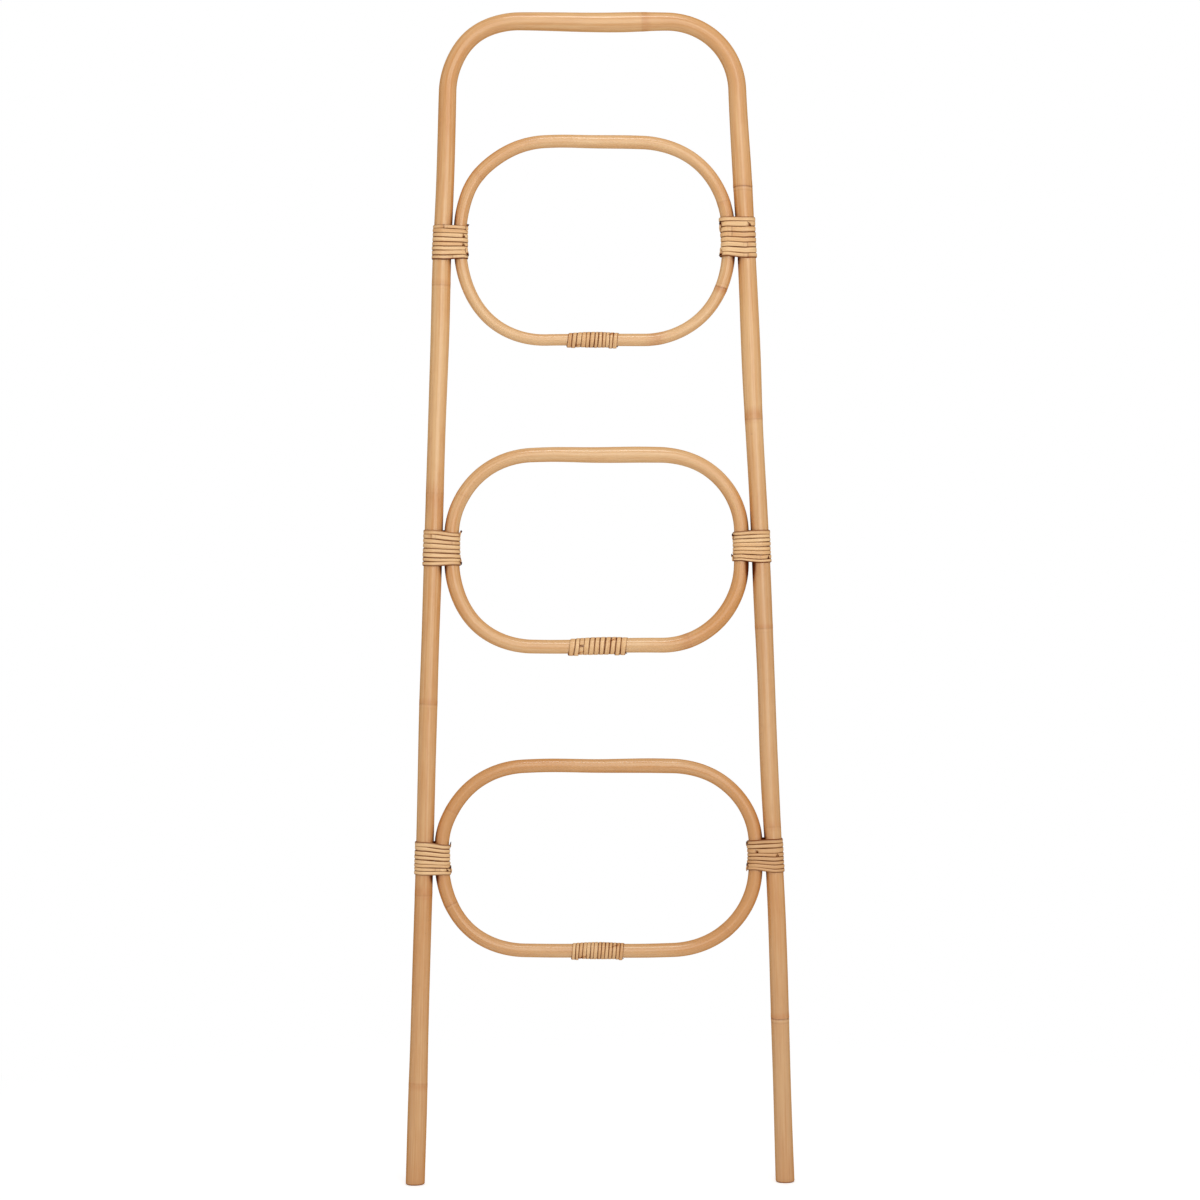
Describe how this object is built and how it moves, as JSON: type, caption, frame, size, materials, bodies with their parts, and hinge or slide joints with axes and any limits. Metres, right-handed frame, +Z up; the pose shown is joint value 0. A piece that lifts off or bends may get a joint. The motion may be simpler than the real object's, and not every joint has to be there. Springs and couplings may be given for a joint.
{
  "type": "towel stand",
  "caption": "Leaning rattan ladder rack for towels: a bent pole frame with rounded rod rings lashed between its splayed legs, to hang towels on.",
  "frame": {"origin": "on the floor, midway between the feet", "axes": "+Z up the stand, +X across it, front towards -Y"},
  "size_m": [0.566, 0.0314, 1.698],
  "materials": {
    "rattan_pole": "natural, clear satin",
    "rattan_rod": "natural, clear satin",
    "rattan_peel": "natural skin, satin",
    "screw_steel": "zinc plated",
    "brad_steel": "bright wire"
  },
  "bodies": {
    "root": {"frame_pole": "rattan_pole", "upper_ring": "rattan_rod", "upper_left_lashing": "rattan_peel", "upper_left_screw": "screw_steel", "upper_right_lashing": "rattan_peel", "upper_right_screw": "screw_steel", "upper_splice_wrap": "rattan_peel", "upper_splice_brads": "brad_steel", "upper_binding_tacks": "brad_steel", "middle_ring": "rattan_rod", "middle_left_lashing": "rattan_peel", "middle_left_screw": "screw_steel", "middle_right_lashing": "rattan_peel", "middle_right_screw": "screw_steel", "middle_splice_wrap": "rattan_peel", "middle_splice_brads": "brad_steel", "middle_binding_tacks": "brad_steel", "lower_ring": "rattan_rod", "lower_left_lashing": "rattan_peel", "lower_left_screw": "screw_steel", "lower_right_lashing": "rattan_peel", "lower_right_screw": "screw_steel", "lower_splice_wrap": "rattan_peel", "lower_splice_brads": "brad_steel", "lower_binding_tacks": "brad_steel"}
  },
  "joints": []
}
